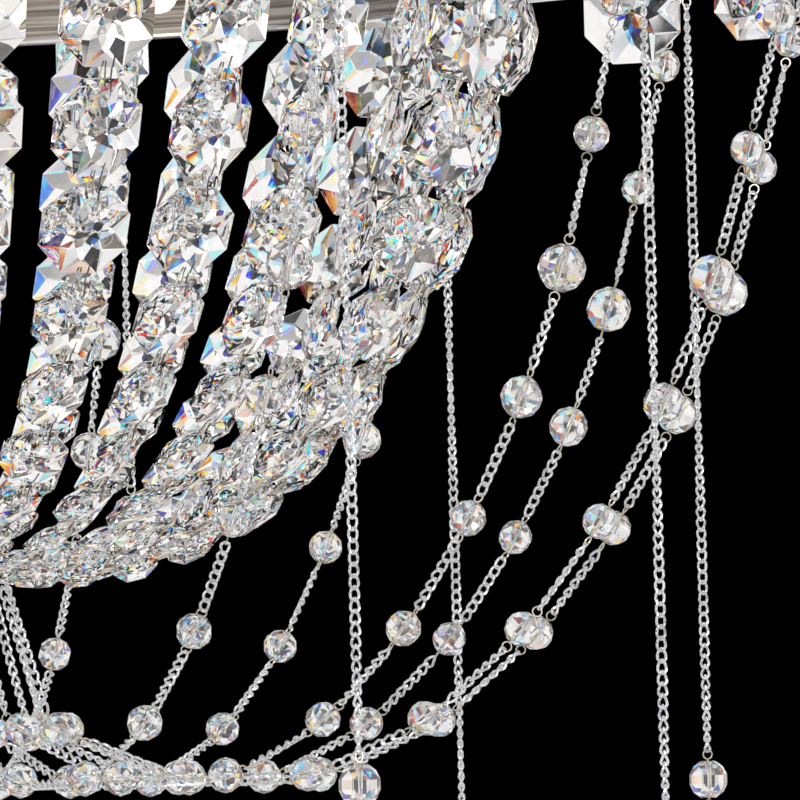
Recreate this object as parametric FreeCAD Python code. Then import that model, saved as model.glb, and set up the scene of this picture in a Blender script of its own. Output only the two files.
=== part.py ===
import FreeCAD, Part
import math
import os

# Crystal chandelier with a basket of octagon strands, sixteen beaded swags and sixteen long
# drop chains. Millimetres, +Z up, origin on the top face of the ceiling bracket.

V = FreeCAD.Vector
UP = V(0, 0, 1)
ORIGIN = V(0, 0, 0)

# Driving sizes: the plan
BAYS = 16                     # swags and drop chains, one of each per bay
BAY_ANGLE = 360.0 / BAYS
HOOP_SIDES = 3 * BAYS         # the two large rings are rolled in short flats, three to a bay
FRAME_DROP = 520.0            # ceiling to the underside of the outer ring
SWAG_DEPTH = 277.0            # outer ring down to the level of the swag bottoms
BASE = -(FRAME_DROP + SWAG_DEPTH)   # heights below are counted up from the swag bottoms

# Outer ring with its sixteen lugs, and a tab inside it at each lug
RING_RADIUS = 339.0
RING_THICK = 3.0
RING_BOTTOM = SWAG_DEPTH
RING_TOP = 291.0
LUG_INNER, LUG_OUTER = 331.0, 347.0
LUG_WIDTH, LUG_THICK = 8.0, 3.0
TAB_INNER = 314.0
LUG_BOTTOM = RING_BOTTOM - LUG_THICK

# Basket ring: a band with a thin lip that the strands hang from
BASKET_RADIUS = 237.0
BAND_THICK = 2.0
BASKET_BOTTOM = 266.0
LIP_WIDTH, LIP_THICK = 6.0, 1.5
STRANDS = 2 * BAYS
STRAND_RADIUS = BASKET_RADIUS - 3.0
BOTTOM_RING_RADIUS = 50.0
BOTTOM_RING_SECTION = 3.0

# Crystals, sizes across the flats
STRAND_SIZES = (33.0, 33.0, 30.0, 26.0, 24.0, 22.0, 20.0, 18.0, 16.0, 15.0, 14.0)
SHORT_STRAND = 8              # every second strand stops after this many crystals
OCTAGON_DEPTH = 0.40          # thickness over size
OCTAGON_PULL = 0.00067        # change of slope at a crystal, times its size squared
STRAND_SLOPE = 4.02           # slope of a strand where it leaves the lip
STRAND_RISE = 0.14            # and its rise per millimetre towards the bottom ring
PIN_GAP = 4.0                 # bare pin between two crystals
PIN_RADIUS = 0.55
PIN_HOLD = 2.5                # length of pin inside each crystal
RIM_SIZE = 36.0
RIM_RADIUS = 318.0
RIM_DEPTH = 11.0
RIM_MIDDLE = 267.0            # height of the large octagons' middles
RIM_TURN = 38.0               # and their turn on the pin, from facing the middle

# Swags: bead sizes from the ring to the middle
SWAG_BEADS = (12.0, 12.0, 16.0, 14.0) + (12.0,) * 6
SWAG_RADIUS = 337.0
SWAG_FIRST = 26.5             # first run, from the lug to the first bead
SWAG_SPACING = 45.6           # from bead to bead
CHAIN_PULL = 0.08             # change of slope at a bead: the chain's share
BEAD_PULL = 0.000197          # and the bead's share, times its size cubed
LOW_BEADS = 8                 # beads on the outer side of a swag's level run
CHAIN_WIDTH = 3.8
CHAIN_THICK = 2.0
BEAD_SIDES = 6

# Drop chains and their end balls
DROP_RADIUS = 341.0
BALL_SIZE = 14.0
BALL_LEVELS = (125.0, -8.0, -74.0, 97.0)   # ball centres, repeated round the ring
DROP_PIVOT_GAP = 0.7

# Frame: hub, arms, lamps, stem, crown and stay chains
ARMS = 8
ARM_THICK = 4.0
ARM_UNDER, ARM_TOP, ARM_TIP = 306.0, 324.0, 316.0
FOOT = 3.5
HUB_FLATS = 58.0
HUB_BOTTOM, HUB_TOP = 303.0, 326.0
LAMP_RADIUS = 112.0
LAMP_SIDES = 8
SOCKET_RADIUS, SOCKET_HEIGHT = 9.0, 20.0
BULB_RADIUS, BULB_SHOULDER, BULB_HEIGHT = 8.0, 18.0, 27.0
STEM_RADIUS = 8.0
CROWN_LEVEL = 607.0
CROWN_RADIUS, CROWN_THICK = 66.0, 4.0
STAY_INNER = 60.0
STAY_BEADS = 2
STAY_BEAD_SIZE = 14.0
STAY_MARGIN = 2.2             # a stay stops short of the plates that its end hooks hold

# Suspension, with heights below the ceiling
BRACKET_LENGTH, BRACKET_WIDTH, BRACKET_THICK = 110.0, 26.0, 3.0
SCREW_SPACING, SCREW_HOLE = 80.0, 5.2
NIPPLE_SIDES = 12
NIPPLE_FLATS, NIPPLE_BORE, NIPPLE_END = 10.0, 6.0, -30.0
NUT_FLATS, NUT_THICK = 17.0, 5.0
NECK_FLATS, NECK_TOP, NECK_BOTTOM = 27.0, -24.0, -36.0
CANOPY_RIM, CANOPY_TOP_GAP, CANOPY_BOTTOM = 63.0, 0.5, -28.0
CANOPY_FLOOR, CANOPY_WALL, CANOPY_HOLE = 38.0, 1.2, 14.3
COLLAR_RADIUS, COLLAR_BORE, COLLAR_HEIGHT = 19.0, 13.8, 6.0
FIXTURE_NECK_FLATS, FIXTURE_NECK_HEIGHT = 20.0, 10.0
LOOP_HALF, LOOP_WIRE = 9.0, 2.5
LOOP_RUN = 8.0                # straight part of a loop's side
LINK_HALF, LINK_RUN, LINK_WIRE = 8.0, 16.0, 2.2
LINK_PLAY = 0.3
WIRE_SIDES, BEND_STEPS = 6, 5
SIDES = 16                    # facets of the turned-look parts


def save(name, pieces):
    """Write one node, a single solid or a group of separate ones."""
    shape = pieces[0] if len(pieces) == 1 else Part.makeCompound(pieces)
    shape.exportStep("parts/" + name + ".step")


def turned(shape, angle):
    """A copy of a shape turned about the vertical axis."""
    copy = shape.copy()
    copy.rotate(ORIGIN, UP, angle)
    return copy


def placed(shape, radius, height, slope, angle):
    """Tip a piece made along +Z to the slope of its strand, then move it to its bay."""
    copy = shape.copy()
    copy.rotate(ORIGIN, V(0, 1, 0), slope)
    copy.translate(V(radius, 0, BASE + height))
    return turned(copy, angle)


def solid_of(corners, faces):
    """A solid with flat faces, each given by the indices of its corners."""
    flats = []
    for face in faces:
        outline = [corners[i] for i in face]
        flats.append(Part.Face(Part.makePolygon(outline + outline[:1])))
    return Part.makeSolid(Part.makeShell(flats))


def bipyramid(sides, corner_radius, half_depth, axis):
    """A cut crystal: a polygon girdle and a point on either side, along X or Z."""
    corners = []
    for i in range(sides):
        turn = 2 * math.pi * (i + 0.5) / sides
        a, b = corner_radius * math.cos(turn), corner_radius * math.sin(turn)
        corners.append(V(0, a, b) if axis == "X" else V(a, b, 0))
    point = V(half_depth, 0, 0) if axis == "X" else V(0, 0, half_depth)
    corners += [point, point * -1]
    faces = []
    for i in range(sides):
        after = (i + 1) % sides
        faces.append((i, after, sides))
        faces.append((after, i, sides + 1))
    return solid_of(corners, faces)


def octagon(size, depth):
    """An octagon crystal seen along X, with flats above and below."""
    return bipyramid(8, size / 2 / math.cos(math.pi / 8), depth / 2, "X")


def bead(size):
    """A cut bead on a vertical thread."""
    return bipyramid(BEAD_SIDES, size / 2, size / 2, "Z")


def rod(start, end, corner_radius, sides=3):
    """A slender straight bar between two points of the XZ plane, one facet pair per side."""
    along = end - start
    across = V(0, 1, 0)
    normal = along.cross(across).normalize()
    outline = []
    for i in range(sides):
        turn = 2 * math.pi * i / sides
        outline.append(start + (across * math.cos(turn) + normal * math.sin(turn)) * corner_radius)
    return Part.Face(Part.makePolygon(outline + outline[:1])).extrude(along)


def faceted(profile, sides=SIDES):
    """A solid with flat sides round the vertical axis, from (radius to a flat, height) pairs."""
    corners, faces = [], []
    for radius, height in profile:
        for i in range(sides):
            turn = 2 * math.pi * (i + 0.5) / sides
            reach = radius / math.cos(math.pi / sides)
            corners.append(V(reach * math.cos(turn), reach * math.sin(turn), height))
    for row in range(len(profile) - 1):
        low, high = row * sides, (row + 1) * sides
        for i in range(sides):
            after = (i + 1) % sides
            faces.append((low + i, low + after, high + after, high + i))
    last = (len(profile) - 1) * sides
    return solid_of(corners, faces + [tuple(range(sides)), tuple(range(last, last + sides))])


def prism(flats, bottom, top, sides=SIDES):
    """An upright boss with flat sides, sized across its flats."""
    return faceted([(flats / 2, bottom), (flats / 2, top)], sides)


def hoop(inner, outer, bottom, top, sides=HOOP_SIDES):
    """A ring of flat sides, from the radii to its inner and outer flats."""
    return prism(2 * outer, bottom, top, sides).cut(prism(2 * inner, bottom, top, sides))


def point_at(radius, height):
    """A point of the XZ plane, from a radius and a height above the swag bottoms."""
    return V(radius, 0, BASE + height)


def walk(start, slope, pieces):
    """Hang pieces in a row, as weights on a thread do.

    Each piece is (gap before it, its length, its pull). A gap lies along the slope, and a piece
    takes its pull off the slope, half before its middle and half after. The result lists the
    start and end of every gap, and the middle and tip angle of every piece.
    """
    radius, height = start
    gaps, middles = [], []
    for gap, length, pull in pieces:
        angle = math.atan(slope)
        before = (radius, height)
        radius -= gap * math.cos(angle)
        height -= gap * math.sin(angle)
        gaps.append((before, (radius, height)))
        angle = math.atan(slope - pull / 2)
        half = (length / 2 * math.cos(angle), length / 2 * math.sin(angle))
        middles.append((radius - half[0], height - half[1], 90 - math.degrees(angle)))
        radius -= 2 * half[0]
        height -= 2 * half[1]
        slope -= pull
    return gaps, middles, (radius, height)


def strand_line(count):
    """One basket strand of so many crystals, from the lip down to the bottom ring."""
    pieces = [(PIN_GAP, size, OCTAGON_PULL * size ** 2) for size in STRAND_SIZES[:count]]
    gaps, middles, end = walk((STRAND_RADIUS, BASKET_BOTTOM), STRAND_SLOPE, pieces)
    if count < len(STRAND_SIZES):
        return gaps, middles
    level = end[1] + (end[0] - BOTTOM_RING_RADIUS) * STRAND_RISE
    return gaps + [(end, (BOTTOM_RING_RADIUS, level))], middles


def swag_line():
    """One swag, from its lug on the outer ring to the bottom ring of the basket."""
    pulls = [CHAIN_PULL + BEAD_PULL * size ** 3 for size in SWAG_BEADS]
    slope = sum(pulls[:LOW_BEADS])
    pieces = []
    for i, pull in enumerate(pulls):
        pieces.append((SWAG_SPACING if i else SWAG_FIRST, 0.0, pull))
    gaps, middles, end = walk((SWAG_RADIUS, LUG_BOTTOM), slope, pieces)
    return gaps + [(end, (BOTTOM_RING_RADIUS, bottom_ring_level() - BOTTOM_RING_SECTION / 2))], middles


def bottom_ring_level():
    """Height of the bottom ring, where the long strands end."""
    return strand_line(len(STRAND_SIZES))[0][-1][1][1]


def basket():
    """Thirty-two strands of octagons on pins, long and short ones in turn."""
    crystals, pins = [], []
    proto = {size: octagon(size, size * OCTAGON_DEPTH) for size in set(STRAND_SIZES)}
    for j in range(STRANDS):
        angle = (j + 0.5) * 360.0 / STRANDS
        count = SHORT_STRAND if j % 2 else len(STRAND_SIZES)
        gaps, middles = strand_line(count)
        for size, (radius, height, tip) in zip(STRAND_SIZES, middles):
            crystals.append(placed(proto[size], radius, height, tip, angle))
        for i, (start, end) in enumerate(gaps):
            top, bottom = point_at(*start), point_at(*end)
            hold = (bottom - top).normalize() * PIN_HOLD
            top = top - hold if i else top
            bottom = bottom + hold if i < count else bottom
            pins.append(turned(rod(top, bottom, PIN_RADIUS), angle))
    save("basket_octagons", crystals)
    save("basket_pins", pins)


def swags():
    """Sixteen swags of chain with a cut bead at every corner of the thread."""
    chains, beads = [], []
    proto = {size: bead(size) for size in set(SWAG_BEADS)}
    gaps, middles = swag_line()
    clear = 0.6               # chain runs meet inside a bead without touching each other
    for k in range(BAYS):
        angle = k * BAY_ANGLE
        for size, (radius, height, tip) in zip(SWAG_BEADS, middles):
            beads.append(placed(proto[size], radius, height, tip, angle))
        for start, end in gaps:
            top, bottom = point_at(*start), point_at(*end)
            back = (bottom - top).normalize() * clear
            chains.append(turned(rod(top + back, bottom - back, CHAIN_WIDTH / 2), angle))
    save("swag_chains", chains)
    save("swag_beads", beads)


def drops():
    """Sixteen straight chains on the lugs, each with a ball; lengths step round the ring."""
    top = LUG_BOTTOM - DROP_PIVOT_GAP
    ball = bipyramid(8, BALL_SIZE / 2, BALL_SIZE / 2, "Z")
    for k in range(BAYS):
        angle = k * BAY_ANGLE
        level = BALL_LEVELS[k % len(BALL_LEVELS)]
        bottom = level + BALL_SIZE / 4
        bar = Part.makeBox(CHAIN_THICK, CHAIN_WIDTH, top - bottom)
        bar.translate(V(DROP_RADIUS - CHAIN_THICK / 2, -CHAIN_WIDTH / 2, BASE + bottom))
        save("drop_chain_%02d" % (k + 1), [turned(bar, angle)])
        save("drop_ball_%02d" % (k + 1), [placed(ball, DROP_RADIUS, level, 0, angle)])


def rim():
    """Outer ring, its lugs and tabs, and the large octagon that hangs from each tab."""
    half = RING_THICK / 2
    save("outer_ring", [hoop(RING_RADIUS - half, RING_RADIUS + half, BASE + RING_BOTTOM, BASE + RING_TOP)])
    lug = Part.makeBox(LUG_OUTER - LUG_INNER, LUG_WIDTH, LUG_THICK)
    lug.translate(V(LUG_INNER, -LUG_WIDTH / 2, BASE + LUG_BOTTOM))
    tab_end, tab_bottom = RING_RADIUS - half, RING_TOP - LUG_THICK
    tab = Part.makeBox(tab_end - TAB_INNER, LUG_WIDTH, LUG_THICK)
    tab.translate(V(TAB_INNER, -LUG_WIDTH / 2, BASE + tab_bottom))
    crystal = turned(octagon(RIM_SIZE, RIM_DEPTH), RIM_TURN)
    pin_end = point_at(RIM_RADIUS, RIM_MIDDLE + RIM_SIZE / 2 - PIN_HOLD)
    pin = rod(point_at(RIM_RADIUS, tab_bottom), pin_end, PIN_RADIUS)
    angles = [k * BAY_ANGLE for k in range(BAYS)]
    save("anchor_lugs", [turned(piece, a) for a in angles for piece in (lug, tab)])
    save("rim_octagons", [placed(crystal, RIM_RADIUS, RIM_MIDDLE, 0, a) for a in angles])
    save("rim_pins", [turned(pin, a) for a in angles])


def basket_rings():
    """The band with its lip, and the small ring at the bottom of the basket."""
    bottom = BASE + BASKET_BOTTOM
    band = hoop(BASKET_RADIUS, BASKET_RADIUS + BAND_THICK, bottom, BASE + RING_TOP)
    lip = hoop(BASKET_RADIUS - LIP_WIDTH, BASKET_RADIUS, bottom, bottom + LIP_THICK)
    save("basket_ring", [band.fuse(lip).removeSplitter()])
    level = BASE + bottom_ring_level()
    half = BOTTOM_RING_SECTION / 2
    save("bottom_ring", [hoop(BOTTOM_RING_RADIUS - half, BOTTOM_RING_RADIUS + half,
                              level - half, level + half, SIDES)])


def arm():
    """One flat arm: level under its top edge, with a foot on each ring."""
    hub = HUB_FLATS / 2
    inner_foot = BASKET_RADIUS + BAND_THICK / 2
    outline = [(hub, ARM_UNDER), (inner_foot - FOOT, ARM_UNDER), (inner_foot - FOOT, RING_TOP),
               (inner_foot + FOOT, RING_TOP), (inner_foot + FOOT, ARM_UNDER),
               (RING_RADIUS - FOOT, ARM_UNDER), (RING_RADIUS - FOOT, RING_TOP),
               (RING_RADIUS + FOOT, RING_TOP), (RING_RADIUS + FOOT, ARM_TIP), (hub, ARM_TOP)]
    corners = [point_at(*p) - V(0, ARM_THICK / 2, 0) for p in outline]
    return Part.Face(Part.makePolygon(corners + corners[:1])).extrude(V(0, ARM_THICK, 0))


def lamp():
    """A socket under an arm and the capsule bulb below it."""
    top = BASE + ARM_UNDER
    seat = top - SOCKET_HEIGHT
    socket = prism(2 * SOCKET_RADIUS, seat, top, LAMP_SIDES)
    outline = [(BULB_RADIUS / 2, seat - BULB_HEIGHT), (BULB_RADIUS, seat - BULB_SHOULDER), (BULB_RADIUS, seat)]
    bulb = faceted(outline, LAMP_SIDES)
    for piece in (socket, bulb):
        piece.translate(V(LAMP_RADIUS, 0, 0))
    return socket, bulb


def frame():
    """Hub, arms, lamps, stem, crown and the stay chains from the crown to the outer ring."""
    angles = [(k + 0.5) * 360.0 / ARMS for k in range(ARMS)]
    save("hub", [prism(HUB_FLATS, BASE + HUB_BOTTOM, BASE + HUB_TOP)])
    save("ring_arms", [turned(arm(), a) for a in angles])
    socket, bulb = lamp()
    save("lamp_sockets", [turned(socket, a) for a in angles])
    save("bulbs", [turned(bulb, a) for a in angles])
    stem_top = fixture_neck()[1]
    save("stem", [Part.makeCylinder(STEM_RADIUS, stem_top - BASE - HUB_TOP, V(0, 0, BASE + HUB_TOP))])
    crown = prism(2 * CROWN_RADIUS, BASE + CROWN_LEVEL, BASE + CROWN_LEVEL + CROWN_THICK)
    hole = prism(2 * STEM_RADIUS, BASE + CROWN_LEVEL, BASE + CROWN_LEVEL + CROWN_THICK)
    save("crown_plate", [crown.cut(hole)])
    stays()


def stays():
    """Eight straight chains with beads, from the crown plate to the outer ring."""
    top, bottom = point_at(STAY_INNER, CROWN_LEVEL), point_at(RING_RADIUS, RING_TOP)
    along = bottom - top
    tip = -math.degrees(math.atan2(along.x, -along.z))
    margin = along * (STAY_MARGIN / along.Length)
    corners = [top + along * (i / (STAY_BEADS + 1)) for i in range(STAY_BEADS + 2)]
    proto = bead(STAY_BEAD_SIZE)
    chains, beads = [], []
    for k in range(ARMS):
        angle = k * 360.0 / ARMS
        for start, end in zip(corners, corners[1:]):
            chains.append(turned(rod(start + margin, end - margin, CHAIN_WIDTH / 2), angle))
        for corner in corners[1:-1]:
            beads.append(placed(proto, corner.x, corner.z - BASE, tip, angle))
    save("stay_chains", chains)
    save("stay_beads", beads)


def loop(top, half_width, run, wire, turn):
    """A closed link of round wire with straight sides, hanging from its upper centre line."""
    path = []
    for centre, first in ((top - half_width, 0), (top - half_width - run, 180)):
        for i in range(BEND_STEPS + 1):
            a = math.radians(first + 180.0 * i / BEND_STEPS)
            path.append((half_width * math.cos(a), centre + half_width * math.sin(a), a))
    corners = []
    for x, z, a in path:
        for s in range(WIRE_SIDES):
            b = 2 * math.pi * (s + 0.5) / WIRE_SIDES
            out = wire * math.cos(b)
            corners.append(V(x + out * math.cos(a), wire * math.sin(b), z + out * math.sin(a)))
    faces = []
    for p in range(len(path)):
        q = (p + 1) % len(path)
        for s in range(WIRE_SIDES):
            t = (s + 1) % WIRE_SIDES
            ring = (p * WIRE_SIDES + s, p * WIRE_SIDES + t, q * WIRE_SIDES + t, q * WIRE_SIDES + s)
            faces += [ring[:3], (ring[2], ring[3], ring[0])]
    return turned(solid_of(corners, faces), turn)


def link_levels():
    """Upper centre lines of the two links and of the fixture's loop, each resting in the last."""
    loop_low = NECK_BOTTOM + LOOP_WIRE - 2 * LOOP_HALF - LOOP_RUN
    upper = loop_low + LOOP_WIRE + LINK_WIRE + LINK_PLAY
    upper_low = upper - 2 * LINK_HALF - LINK_RUN
    lower = upper_low + 2 * LINK_WIRE + LINK_PLAY
    lower_low = lower - 2 * LINK_HALF - LINK_RUN
    fixture = lower_low + LINK_WIRE + LOOP_WIRE + LINK_PLAY
    return loop_low, upper, upper_low, lower, lower_low, fixture


def fixture_neck():
    """Top and bottom of the neck below the fixture's own loop."""
    top = link_levels()[5] - 2 * LOOP_HALF - LOOP_RUN + LOOP_WIRE
    return top, top - FIXTURE_NECK_HEIGHT


def bracket():
    """The flat bar that two screws hold to the ceiling, with the nipple's hole in the middle."""
    bar = Part.makeBox(BRACKET_LENGTH, BRACKET_WIDTH, BRACKET_THICK)
    bar.translate(V(-BRACKET_LENGTH / 2, -BRACKET_WIDTH / 2, -BRACKET_THICK))
    for x in (-SCREW_SPACING / 2, SCREW_SPACING / 2):
        bar = bar.cut(Part.makeCylinder(SCREW_HOLE / 2, BRACKET_THICK, V(x, 0, -BRACKET_THICK)))
    return bar.cut(prism(NIPPLE_FLATS, -BRACKET_THICK, 0, NIPPLE_SIDES))


def suspension():
    """Bracket, nipple, nut, canopy with its collar, and the links down to the fixture."""
    save("ceiling_bracket", [bracket()])
    save("threaded_nipple", [hoop(NIPPLE_BORE / 2, NIPPLE_FLATS / 2, NIPPLE_END, 0, NIPPLE_SIDES)])
    nut_bottom = -BRACKET_THICK - NUT_THICK
    bore = prism(NIPPLE_FLATS, nut_bottom, -BRACKET_THICK, NIPPLE_SIDES)
    save("lock_nut", [prism(NUT_FLATS, nut_bottom, -BRACKET_THICK, 6).cut(bore)])
    canopy()
    _, upper, _, lower, _, fixture = link_levels()
    socket = prism(NIPPLE_FLATS, NIPPLE_END, NECK_TOP, NIPPLE_SIDES)
    neck = prism(NECK_FLATS, NECK_BOTTOM, NECK_TOP).cut(socket)
    ceiling = loop(NECK_BOTTOM + LOOP_WIRE, LOOP_HALF, LOOP_RUN, LOOP_WIRE, 0)
    save("ceiling_loop", [neck.fuse(ceiling)])
    save("suspension_link_upper", [loop(upper, LINK_HALF, LINK_RUN, LINK_WIRE, 90)])
    save("suspension_link_lower", [loop(lower, LINK_HALF, LINK_RUN, LINK_WIRE, 0)])
    top, bottom = fixture_neck()
    own = loop(fixture, LOOP_HALF, LOOP_RUN, LOOP_WIRE, 90)
    save("top_loop", [prism(FIXTURE_NECK_FLATS, bottom, top).fuse(own)])


def canopy():
    """A sixteen-sided cup over the bracket, and the collar ring that holds it up."""
    rim_level = -CANOPY_TOP_GAP
    outer = faceted([(CANOPY_FLOOR, CANOPY_BOTTOM), (CANOPY_RIM, rim_level)])
    floor = CANOPY_BOTTOM + CANOPY_WALL
    inner = faceted([(CANOPY_FLOOR - CANOPY_WALL, floor), (CANOPY_RIM - CANOPY_WALL, rim_level)])
    save("canopy", [outer.cut(inner).cut(prism(2 * CANOPY_HOLE, CANOPY_BOTTOM, floor))])
    low = CANOPY_BOTTOM - COLLAR_HEIGHT
    save("canopy_collar", [hoop(COLLAR_BORE, COLLAR_RADIUS, low, CANOPY_BOTTOM, SIDES)])


os.makedirs("parts", exist_ok=True)
suspension()
frame()
rim()
basket_rings()
basket()
swags()
drops()

for line, name in ((strand_line(len(STRAND_SIZES)), "strand"), (swag_line(), "swag")):
    print(name, [(round(r, 1), round(z, 1)) for r, z, _ in line[1]], "ends at",
          [round(v, 1) for v in line[0][-1][1]])
print("links", [round(z, 1) for z in link_levels()], "neck", fixture_neck())
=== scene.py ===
# %% [markdown]
# # A crystal chandelier, dressed
#
# The chandelier hangs from a ceiling bracket on two links. A stem carries a hub with eight flat
# arms, and the arms carry two rings. From the inner ring hangs a basket of thirty-two strands of
# octagon crystals, from the outer ring sixteen swags of chain with cut beads and sixteen long
# drop chains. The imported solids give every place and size. Here each piece gets the cut, the
# wire, the links and the finish that the solids leave out. All lengths are in metres.

# %% Load the frame
import math
from collections import namedtuple

import bpy
import numpy as np
from mathutils import Matrix


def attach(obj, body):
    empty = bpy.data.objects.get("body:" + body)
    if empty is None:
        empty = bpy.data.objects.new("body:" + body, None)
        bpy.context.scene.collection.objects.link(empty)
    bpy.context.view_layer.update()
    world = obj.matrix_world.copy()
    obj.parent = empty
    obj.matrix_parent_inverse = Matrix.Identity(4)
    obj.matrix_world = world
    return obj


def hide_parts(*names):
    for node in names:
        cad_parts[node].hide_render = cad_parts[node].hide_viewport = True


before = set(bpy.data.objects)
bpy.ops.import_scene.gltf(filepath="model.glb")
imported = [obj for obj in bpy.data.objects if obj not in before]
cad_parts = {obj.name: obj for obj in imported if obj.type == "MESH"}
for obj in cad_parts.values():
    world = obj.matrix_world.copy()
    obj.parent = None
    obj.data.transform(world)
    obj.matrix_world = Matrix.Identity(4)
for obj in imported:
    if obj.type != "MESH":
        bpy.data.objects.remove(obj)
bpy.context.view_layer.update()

MM = 0.001

# %% [markdown]
# ## The camera
#
# The picture is taken from a little below the swags with a very long lens, so that the near and
# the far side of the chandelier have almost the same size. The camera looks slightly up and past
# the right side of the basket. It could be aimed at a point, but a long lens wants angles to a
# hundredth of a degree, so its three axes are written out from three small turns: left, up, roll.

# %% Camera
BASE = -797 * MM  # level of the swag bottoms, below the ceiling at 0
SENSOR = 36.0
PICTURE_SIDE = 800
LENS_PIXELS = 12216.0  # focal length, in pixels of the picture
PIXEL_SIZE = 0.345  # millimetres that a pixel covers at the chandelier's axis
CAMERA_DISTANCE = LENS_PIXELS * PIXEL_SIZE * MM
CAMERA_BELOW = 20.7 * MM
CAMERA_AZIMUTH = math.radians(-95.16)
TURN_LEFT, TURN_UP, TURN_ROLL = 0.04460, 0.03462, -0.02731


def camera_axes(azimuth, left, up, roll):
    """Forward is the way back to the axis, turned by left and raised by up. Right is level and
    square to it, top is right x forward, and roll turns those two about forward."""
    ahead = azimuth + math.pi - left
    forward = np.array([math.cos(ahead) * math.cos(up), math.sin(ahead) * math.cos(up), math.sin(up)])
    right = np.array([math.sin(ahead), -math.cos(ahead), 0.0])
    top = np.cross(right, forward)
    c, s = math.cos(roll), math.sin(roll)
    return right * c + top * s, top * c - right * s, -forward


camera = bpy.data.objects.new("camera", bpy.data.cameras.new("camera"))
camera.data.sensor_width = SENSOR
camera.data.lens = SENSOR * LENS_PIXELS / PICTURE_SIDE
camera.data.clip_end = 100.0
place = np.eye(4)
place[:3, :3] = np.array(camera_axes(CAMERA_AZIMUTH, TURN_LEFT, TURN_UP, TURN_ROLL)).T
place[:3, 3] = (CAMERA_DISTANCE * math.cos(CAMERA_AZIMUTH),
                CAMERA_DISTANCE * math.sin(CAMERA_AZIMUTH), BASE - CAMERA_BELOW)
camera.matrix_world = Matrix(place.tolist())
bpy.context.scene.collection.objects.link(camera)
bpy.context.scene.camera = camera
print("camera lens %.1f mm at %.3f m" % (camera.data.lens, CAMERA_DISTANCE))

# %% [markdown]
# ## Where everything hangs
#
# A strand of crystals and a swag of chain both hang as weights on a thread: straight between two
# weights, with a corner at each weight that is sharper the heavier it is. The same walk from
# weight to weight that made the solids gives the same places here, now in metres.

# %% Walk along a weighted thread
BAYS = 16
STRANDS = 2 * BAYS
bays = np.arange(BAYS) * (2 * math.pi / BAYS)  # azimuths of the lugs, swags and drop chains
LUG_BOTTOM = 274 * MM
BASKET_BOTTOM = 266 * MM
RING_TOP = 291 * MM
STRAND_RADIUS = 234 * MM
BOTTOM_RING_RADIUS, BOTTOM_RING_SECTION = 50 * MM, 3 * MM
STRAND_SIZES = np.array([33, 33, 30, 26, 24, 22, 20, 18, 16, 15, 14]) * MM
SHORT_STRAND = 8  # crystals on a short strand
PIN_GAP = 4 * MM
OCTAGON_PULL = 670  # change of slope at a crystal, over its size squared
STRAND_SLOPE, STRAND_RISE = 4.02, 0.14  # slope at the lip; rise of the last wire over its run
SWAG_BEADS = np.array([12, 12, 16, 14] + [12] * 6) * MM
SWAG_RADIUS, SWAG_FIRST, SWAG_SPACING = 337 * MM, 26.5 * MM, 45.6 * MM
CHAIN_PULL, BEAD_PULL = 0.08, 197000  # change of slope at a bead: fixed, and over its size cubed
LOW_BEADS = 8  # beads from the lug to where the swag hangs level


def walk(start, slope, pieces):
    """Each piece is (gap before it, its length, its pull). A gap lies along the slope; a piece
    takes its pull off the slope, half before its middle and half after. The result lists the
    ends of every gap as (radius, height), and every middle with its tip from upright."""
    radius, height = start
    gaps, middles = [], []
    for gap, length, pull in pieces:
        angle = math.atan(slope)
        before = (radius, height)
        radius -= gap * math.cos(angle)
        height -= gap * math.sin(angle)
        gaps.append((before, (radius, height)))
        angle = math.atan(slope - pull / 2)
        middles.append((radius - length / 2 * math.cos(angle), height - length / 2 * math.sin(angle),
                        math.pi / 2 - angle))
        radius -= length * math.cos(angle)
        height -= length * math.sin(angle)
        slope -= pull
    return gaps, middles, (radius, height)


def strand_line(count):
    """One basket strand: pull is OCTAGON_PULL times the crystal's size squared. A long strand
    ends in a wire to the bottom ring."""
    pieces = [(PIN_GAP, size, OCTAGON_PULL * size ** 2) for size in STRAND_SIZES[:count]]
    gaps, middles, end = walk((STRAND_RADIUS, BASKET_BOTTOM), STRAND_SLOPE, pieces)
    if count == len(STRAND_SIZES):
        rise = (end[0] - BOTTOM_RING_RADIUS) * STRAND_RISE
        gaps.append((end, (BOTTOM_RING_RADIUS, end[1] + rise)))
    return gaps, middles


def swag_line():
    """One swag: pull is CHAIN_PULL plus BEAD_PULL times the bead's size cubed. The slope at the
    lug is what the first LOW_BEADS beads take off it."""
    pulls = CHAIN_PULL + BEAD_PULL * SWAG_BEADS ** 3
    pieces = [(SWAG_SPACING if i else SWAG_FIRST, 0.0, pull) for i, pull in enumerate(pulls)]
    gaps, middles, end = walk((SWAG_RADIUS, LUG_BOTTOM), pulls[:LOW_BEADS].sum(), pieces)
    return gaps + [(end, (BOTTOM_RING_RADIUS, BOTTOM_RING_LEVEL - BOTTOM_RING_SECTION / 2))], middles


BOTTOM_RING_LEVEL = strand_line(len(STRAND_SIZES))[0][-1][1][1]
print("bottom ring %.1f mm above the swag bottoms" % (BOTTOM_RING_LEVEL / MM))

# %% [markdown]
# ## Shapes, copies and pieces
#
# A shape is a set of points with faces, kept as plain arrays: all face corners in one row, and
# the number of corners of each face. A chandelier repeats few shapes many times, so one crystal,
# bead or link is worked out once and stamped to all its places at once by matrix products.

# %% Shape helpers
Shape = namedtuple("Shape", "points corners sizes")


def shape_of(points, *face_sets):
    """A shape from points and one or more arrays of faces, one row of point numbers per face."""
    sets = [np.asarray(faces) for faces in face_sets]
    return Shape(np.asarray(points, float), np.concatenate([f.ravel() for f in sets]),
                 np.concatenate([np.full(len(f), f.shape[1]) for f in sets]))


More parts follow.
